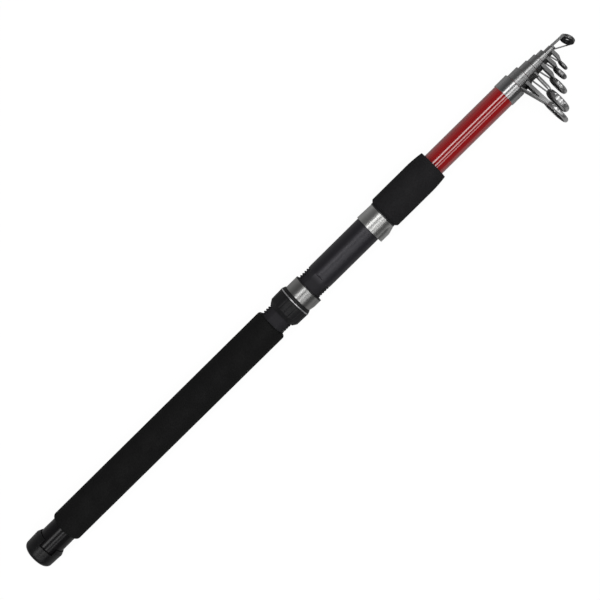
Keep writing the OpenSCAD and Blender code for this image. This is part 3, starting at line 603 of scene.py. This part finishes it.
def makeBarrel(size, form):
    low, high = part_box("reel_seat_barrel")
    seed = bpy.data.meshes.new("barrelSeed")
    values = {"Start": low.x, "End": high.x, **size}
    mesh = barrelRecipe(form).bake(seed, "seatBarrel", values, finishes["seat_plastic"])
    piece = pieceFrom(mesh, "seatBarrel", finishes["seat_plastic"], form["sharp"])
    return dressed(piece, "handle", "seat_plastic", "reel_seat_barrel")


made = makeBarrel(barrel, barrelForm)
print("barrel faces:", len(made.data.polygons))


# Locking nut with finger flutes

nut = {"chamferLen": 3.4 * mm, "rearR": 12.43 * mm, "bodyR": 14.55 * mm, "bore": 11.84 * mm,
       "trimIn": 3.6 * mm, "trimW": 1.1 * mm, "trimDepth": 0.6 * mm, "trimStep": 0.1 * mm,
       "mouthR": 13.74 * mm, "lipR": 12.87 * mm, "lipLen": 0.9 * mm, "recessR": 13.42 * mm,
       "neckLen": 4.0 * mm, "boreEdge": 0.1 * mm, "rearEdge": 0.25 * mm, "bodyEdge": 1.2 * mm,
       "trimEdge": 0.12 * mm, "mouthEdge": 0.2 * mm, "corner": 5, "row": 1.0 * mm, "steps": 432,
       "sharp": 40.0, "fluteFrom": 0.6 * mm, "fluteTo": 0.7 * mm, "fluteFloor": 1.2 * mm}
flutes = {"Count": 18.0, "Depth": 0.30 * mm, "Width": 0.30, "Fade": 1.0 * mm}


def fluteRecipe():
    g = Recipe("fingerFlutes", ["From", "To", "Floor", *flutes], takesMesh=True)
    v = g.value
    x, y, z = g.spot()
    r = (y * y + z * z).only("SQRT")
    phase = (z.sum("ARCTAN2", y) / (2 * math.pi) * v("Count")) % 1.0
    dip = ((phase - 0.5).only("ABSOLUTE") / v("Width") * 2.0).ramp(0.0, 1.0, 1.0, 0.0, smooth=True)
    along = x.ramp(v("From"), v("From") + v("Fade")) * x.ramp(v("To") - v("Fade"), v("To"), 1.0, 0.0)
    share = 1.0 - v("Depth") * dip * along * (r > v("Floor")) / r
    return g.close(g.placed(v("Geometry"), x, y * share, z * share))


def makeNut(size):
    low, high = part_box("lock_nut")
    x0, x1, r = low.x, high.x, high.z
    trimX = x1 - size["trimIn"]
    trimEnd, trimR = trimX + size["trimW"], r - size["trimDepth"]
    lipX, neckX = x1 - size["lipLen"], x1 - size["neckLen"]
    outline = filleted([
        (x0, size["bore"], size["boreEdge"]), (x0, size["rearR"], size["rearEdge"]),
        (x0 + size["chamferLen"], size["bodyR"], size["bodyEdge"]), (trimX, r, size["trimEdge"]),
        (trimX, trimR, 0), (trimEnd, trimR, 0), (trimEnd, r - size["trimStep"], size["trimEdge"]),
        (x1, size["mouthR"], size["mouthEdge"]), (x1, size["lipR"], size["boreEdge"]),
        (lipX, size["lipR"], 0), (lipX, size["recessR"], 0), (neckX, size["recessR"], 0),
        (neckX, size["bore"], 0)], size["corner"])
    base = turnedMesh("nutBlank", drawnOut(outline, size["row"]), size["steps"])
    values = {"From": x0 + size["fluteFrom"], "To": trimX - size["fluteTo"],
              "Floor": size["recessR"] - size["fluteFloor"], **flutes}
    mesh = fluteRecipe().bake(base, "lockNut", values, finishes["nut_plastic"])
    piece = pieceFrom(mesh, "lockNut", finishes["nut_plastic"], size["sharp"])
    return dressed(piece, "nut", "nut_plastic", "lock_nut")


made = makeNut(nut)
print("nut faces:", len(made.data.polygons))


# Floor, light and camera

stage = {"floorZ": -0.0152, "floorSize": 14.0, "pale": 0.97, "dull": 0.37, "white": 0.94, "glow": 1.02,
         "soft": 0.25, "wall": 0.94, "ceiling": 0.30, "domeSpan": (0.15, 0.75), "gloss": 0.05,
         "glossSky": 0.25, "dimSide": 0.40, "dimSpan": (-0.8, 0.4), "unseen": 0.01}
strips = [  # name, angle about the rod from the view, width, radiance
    ("stripLeft", -14.0, 0.290, 3.7),
    ("stripMiddle", 19.0, 0.265, 2.9),
    ("stripRight", 42.0, 0.220, 1.8),
]
stripPlace = {"away": 1.3, "length": 3.2, "middle": 0.62}
cameraPlace = {"aim": (302.6 * mm, -2.13 * mm, 0.0), "away": 1.160, "back": (0.0958, 0.0, 0.9954),
               "along": (0.71237, 0.70180), "lens": 87.0, "sensor": 36.0, "near": 0.05}


def lightPath(book, *kinds):
    ends = book.node("ShaderNodeLightPath").socket.node.outputs
    return [Tap(book, ends[kind]) for kind in kinds]


def seenWhite(book, gloss):  # how white the backdrop is to the rays that see it
    camera, glossy, through = lightPath(book, "Is Camera Ray", "Is Glossy Ray", "Is Transmission Ray")
    return camera.atLeast(glossy * gloss).atLeast(through)


def emptyTree(owner, end):  # a cleared node tree with its output
    owner.use_nodes = True
    owner.node_tree.nodes.clear()
    return NodeBook(owner.node_tree), owner.node_tree.nodes.new(end).inputs["Surface"]


def makeFloor(size):
    half = size["floorSize"] / 2
    mesh = bpy.data.meshes.new("floor")
    corners = [(-half, -half), (half, -half), (half, half), (-half, half)]
    mesh.from_pydata([(x, y, size["floorZ"]) for x, y in corners], [], [(0, 1, 2, 3)])
    material = bpy.data.materials.new("floorPaper")
    book, end = emptyTree(material, "ShaderNodeOutputMaterial")
    pale, dull = (book.node("ShaderNodeBsdfDiffuse", sockets={"Color": (*(size[k],) * 3, 1.0)})
                  for k in ("pale", "dull"))
    camera, = lightPath(book, "Is Camera Ray")
    paper = book.node("ShaderNodeMixShader", sockets={0: camera, 1: dull, 2: pale})
    glow = book.node("ShaderNodeEmission", sockets={"Color": (1, 1, 1, 1), "Strength": size["glow"]})
    share = seenWhite(book, size["gloss"]) * size["white"]
    book.feed(end, book.node("ShaderNodeMixShader", sockets={0: share, 1: paper, 2: glow}))
    mesh.materials.append(material)
    floor = bpy.data.objects.new("floor", mesh)
    scene.collection.objects.link(floor)


def makeWorld(size):
    scene.world = bpy.data.worlds.new("studio")
    book, end = emptyTree(scene.world, "ShaderNodeOutputWorld")
    _, across, upward = book.parts(book.node("ShaderNodeTexCoord", out="Generated"))
    dome = upward.ramp(*size["domeSpan"], size["wall"], size["ceiling"], smooth=True)
    side = across.ramp(*size["dimSpan"], size["dimSide"], 1.0, smooth=True)  # dim beyond the guides
    seen = seenWhite(book, side * size["glossSky"])
    level = dome * seen + size["soft"] * (seen < size["unseen"])
    book.feed(end, book.node("ShaderNodeBackground", sockets={"Color": (1, 1, 1, 1), "Strength": level}))


def turnedTo(right, up, back, spot):
    return Matrix.Translation(spot) @ Matrix((right, up, back)).transposed().to_4x4()


def makeStrip(name, angle, width, radiance, place):
    turn = math.radians(angle)
    away = Vector((0, -math.sin(turn), math.cos(turn)))
    data = bpy.data.lights.new(name, "AREA")
    data.shape = "RECTANGLE"
    data.size = place["length"]
    data.size_y = width
    data.energy = radiance * math.pi * place["length"] * width
    lamp = bpy.data.objects.new(name, data)
    scene.collection.objects.link(lamp)
    side = Vector((1, 0, 0))
    lamp.matrix_world = turnedTo(side, away.cross(side), away, side * place["middle"] + away * place["away"])
    lamp.visible_camera = False


def makeCamera(place):
    back = Vector(place["back"]).normalized()
    tip = Vector((back.z, 0, -back.x))  # towards the rod's tip, across the view
    side = Vector((0, -1, 0))  # towards the guides
    c, s = place["along"]
    data = bpy.data.cameras.new("camera")
    data.lens = place["lens"]
    data.sensor_width = place["sensor"]
    data.clip_start = place["near"]
    camera = bpy.data.objects.new("camera", data)
    scene.collection.objects.link(camera)
    spot = Vector(place["aim"]) + back * place["away"]
    camera.matrix_world = turnedTo(tip * c + side * s, tip * s - side * c, back, spot)
    scene.camera = camera


makeFloor(stage)
makeWorld(stage)
for row in strips:
    makeStrip(*row, stripPlace)
makeCamera(cameraPlace)
scene.view_settings.view_transform = "Standard"
print("stage, strips and camera ready")
